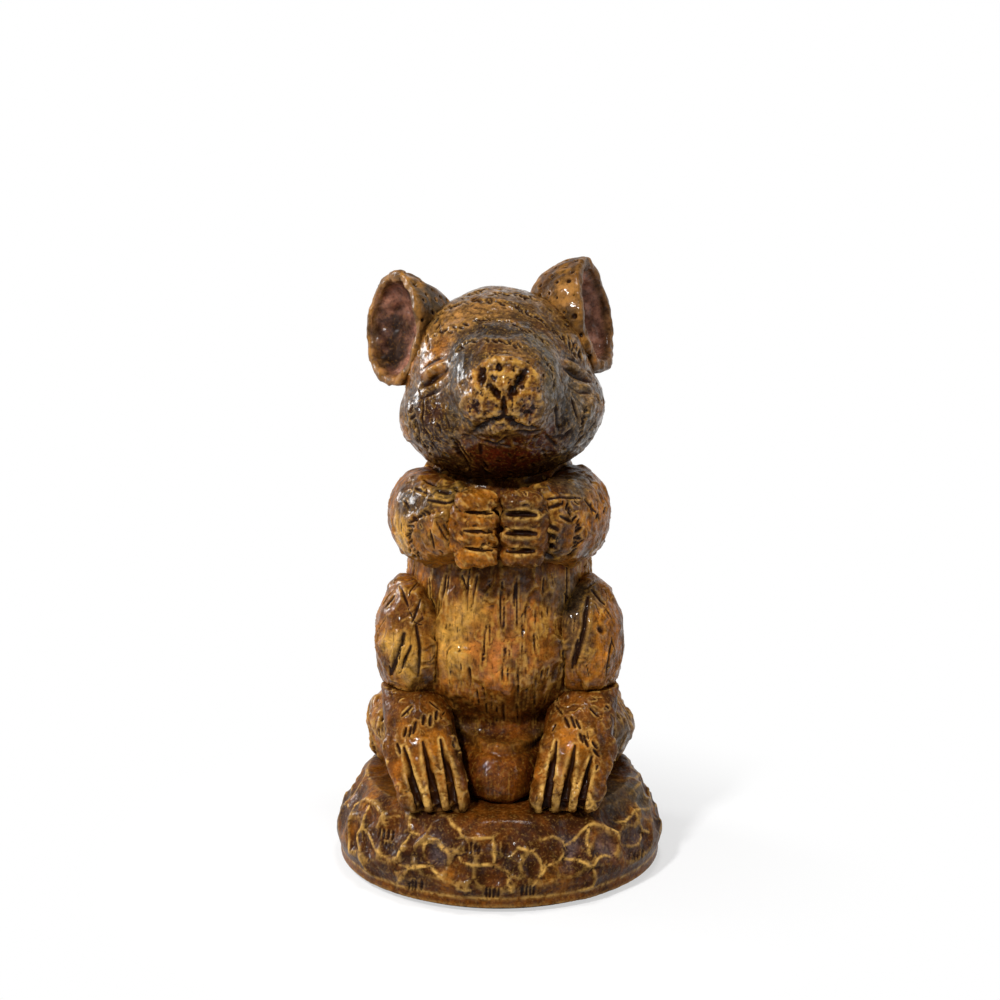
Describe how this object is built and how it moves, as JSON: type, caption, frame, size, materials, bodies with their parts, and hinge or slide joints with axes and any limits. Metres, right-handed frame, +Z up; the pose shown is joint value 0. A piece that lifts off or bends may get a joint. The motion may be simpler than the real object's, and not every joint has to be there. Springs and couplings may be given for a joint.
{
  "type": "mouse figurine",
  "caption": "Seated mouse ornament with closed eyes and paws pressed together, on a round cobbled mound with a felt underside; stands free on a flat surface.",
  "frame": {"origin": "middle of the underside, on the surface that the figurine stands on", "axes": "+Z up, the mouse faces -Y, and its own left side is +X"},
  "size_m": [0.0656, 0.0656, 0.1193],
  "materials": {
    "felt": "dark green felt, short nap",
    "base_resin": "cast resin, dark brown wash with ochre ridges, lacquered",
    "body_resin": "cast resin, amber brown with black in the cuts and ochre on the ridges, lacquered",
    "head_resin": "cast resin, dark umber with rows of small cuts, lacquered",
    "ear_resin": "cast resin, dark inside and ochre-brown pitted outside, lacquered",
    "paw_resin": "cast resin, golden ochre with dark gaps between the fingers and toes, lacquered"
  },
  "bodies": {
    "root": {"felt_pad": "felt", "base": "base_resin", "body": "body_resin", "head": "head_resin", "ear_left": "ear_resin", "ear_right": "ear_resin", "arm_left": "body_resin", "arm_right": "body_resin", "paw_left": "paw_resin", "paw_right": "paw_resin", "thigh_left": "body_resin", "thigh_right": "body_resin", "foot_left": "paw_resin", "foot_right": "paw_resin", "tail": "body_resin"}
  },
  "joints": []
}
